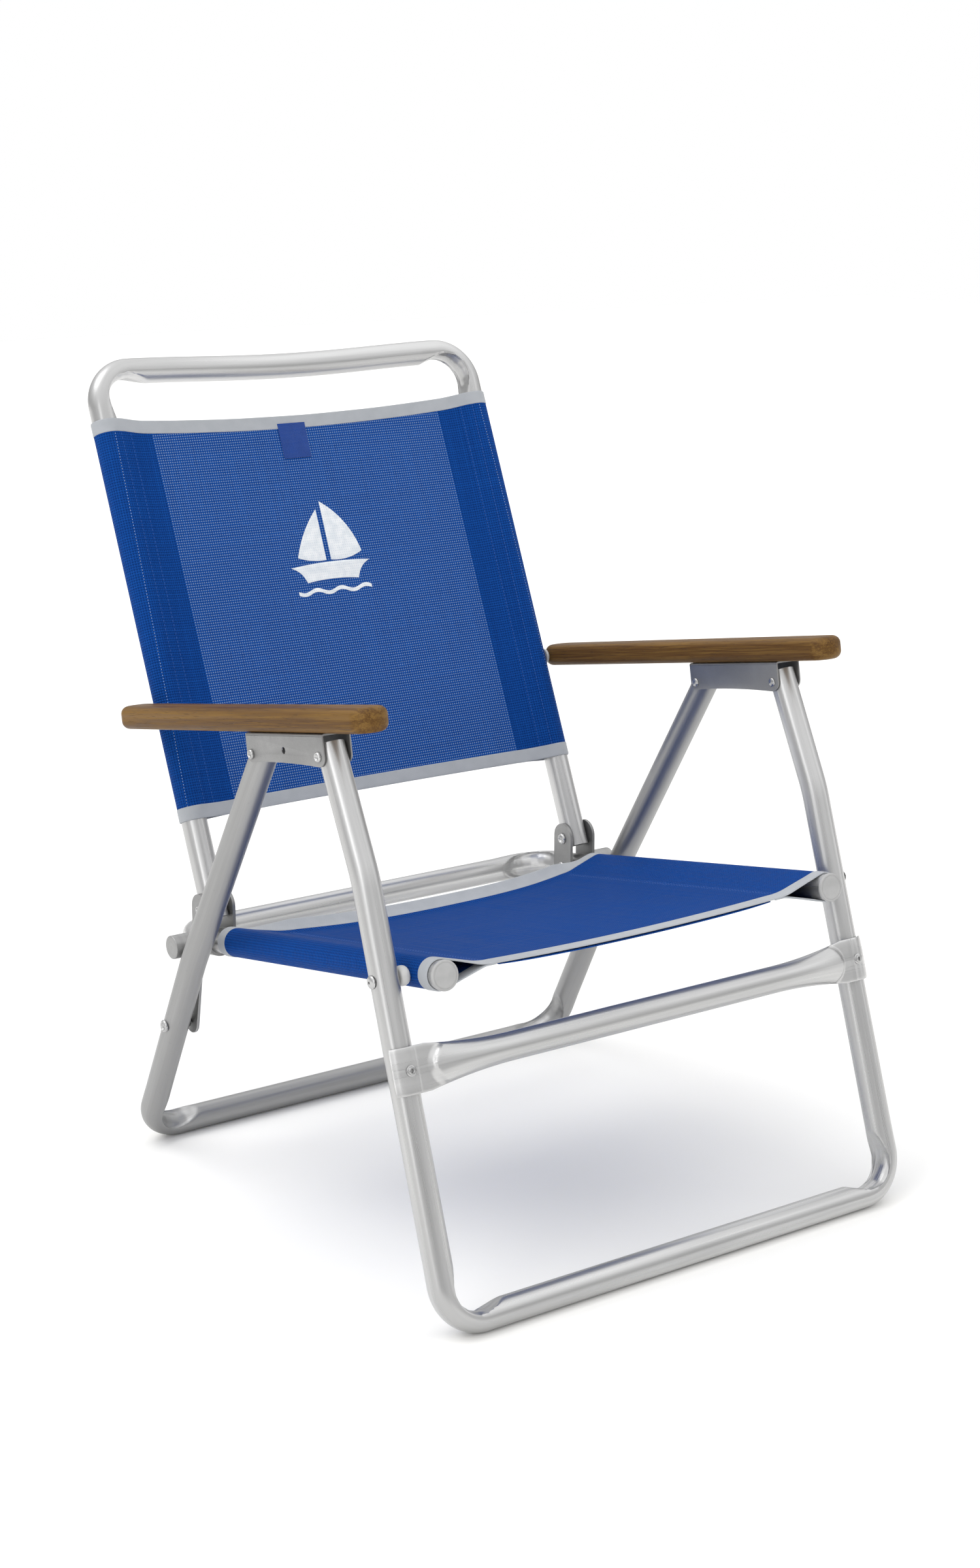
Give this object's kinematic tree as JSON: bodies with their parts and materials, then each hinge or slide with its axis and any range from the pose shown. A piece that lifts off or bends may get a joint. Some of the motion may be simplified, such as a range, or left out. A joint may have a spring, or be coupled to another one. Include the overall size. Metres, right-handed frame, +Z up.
{
  "type": "folding beach chair",
  "caption": "Low folding beach chair: bent aluminium tube frames, mesh seat and back slings with taped edges, and flat wooden armrests on a folding linkage.",
  "frame": {"origin": "on the floor, midway between the chair's sides and midway between its front and rear floor bars at their centre lines", "axes": "+X to the sitter's left, -Y the way the sitter faces, +Z up from the floor"},
  "size_m": [0.547, 0.6924, 0.7723],
  "materials": {
    "polished_tube": "polished drawn tube with fine lengthwise lines",
    "satin_tube": "satin anodised, soft highlights",
    "bracket": "satin grey sheet with softened edges",
    "rivet": "bright formed rivet heads",
    "sling_mesh": "royal blue coated open-weave mesh",
    "binding_tape": "off-white woven binding",
    "teak": "oiled teak with long fine grain",
    "white_plastic": "matte moulded",
    "grey_plastic": "smooth light grey"
  },
  "bodies": {
    "seat": {"seat_frame": "polished_tube", "seat_sling": "sling_mesh", "seat_binding_front": "binding_tape", "seat_binding_rear": "binding_tape", "seat_cap_left": "grey_plastic", "seat_cap_right": "grey_plastic", "seat_bracket_left": "bracket", "seat_bracket_right": "bracket", "back_pivot_rivet_left": "rivet", "back_pivot_rivet_right": "rivet", "stay_pin_left": "rivet", "stay_pin_right": "rivet", "stop_bush_left": "satin_tube", "stop_bush_right": "satin_tube"},
    "back": {"back_frame": "polished_tube", "back_sling": "sling_mesh", "back_binding_bottom": "binding_tape", "back_binding_top": "binding_tape", "label_tab": "binding_tape"},
    "front_legs": {"front_legs": "polished_tube", "stretcher": "polished_tube", "stretcher_rivet_left": "rivet", "stretcher_rivet_right": "rivet", "seat_pivot_rivet_left": "rivet", "seat_pivot_rivet_right": "rivet", "seat_spacer_left": "white_plastic", "seat_spacer_right": "white_plastic"},
    "arms": {"armrest_left": "teak", "armrest_right": "teak", "armrest_bracket_left": "bracket", "armrest_bracket_right": "bracket", "armrest_bolt_left": "rivet", "armrest_bolt_right": "rivet", "armrest_spacer_left": "white_plastic", "armrest_spacer_right": "white_plastic", "rear_leg_rivet_left": "rivet", "rear_leg_rivet_right": "rivet", "front_leg_rivet_left": "rivet", "front_leg_rivet_right": "rivet", "bracket_screw_rear_left": "rivet", "bracket_screw_rear_right": "rivet", "bracket_screw_front_left": "rivet", "bracket_screw_front_right": "rivet"},
    "rear_legs": {"rear_legs": "satin_tube", "leg_stay_rivet_left": "rivet", "leg_stay_rivet_right": "rivet"},
    "stays": {"stay_left": "satin_tube", "stay_right": "satin_tube", "stay_foot_stud_left": "rivet", "stay_foot_stud_right": "rivet"}
  },
  "joints": [
    {"name": "back_fold", "type": "hinge", "parent": "seat", "child": "back", "pos_m": [0, 0.183, 0.262], "axis": [1, 0, 0], "range_deg": [0, 90]},
    {"name": "front_leg_fold", "type": "hinge", "parent": "seat", "child": "front_legs", "pos_m": [0, -0.17691, 0.297], "axis": [1, 0, 0], "range_deg": [0, 90]},
    {"name": "armrest_fold", "type": "hinge", "parent": "back", "child": "arms", "pos_m": [0, 0.26, 0.443], "axis": [1, 0, 0], "range_deg": [-90, 0]},
    {"name": "rear_leg_fold", "type": "hinge", "parent": "arms", "child": "rear_legs", "pos_m": [0, 0.014, 0.4575], "axis": [1, 0, 0], "range_deg": [0, 40.7]},
    {"name": "stay_fold", "type": "hinge", "parent": "seat", "child": "stays", "pos_m": [0, 0.184, 0.23], "axis": [1, 0, 0], "range_deg": [-105.2, 0]}
  ],
  "couplings": [
    {"joint": "front_leg_fold", "follows": "back_fold", "ratio": 1},
    {"joint": "armrest_fold", "follows": "back_fold", "ratio": -1},
    {"joint": "rear_leg_fold", "follows": "back_fold", "ratio": 0.45111},
    {"joint": "stay_fold", "follows": "back_fold", "ratio": -1.1678}
  ]
}
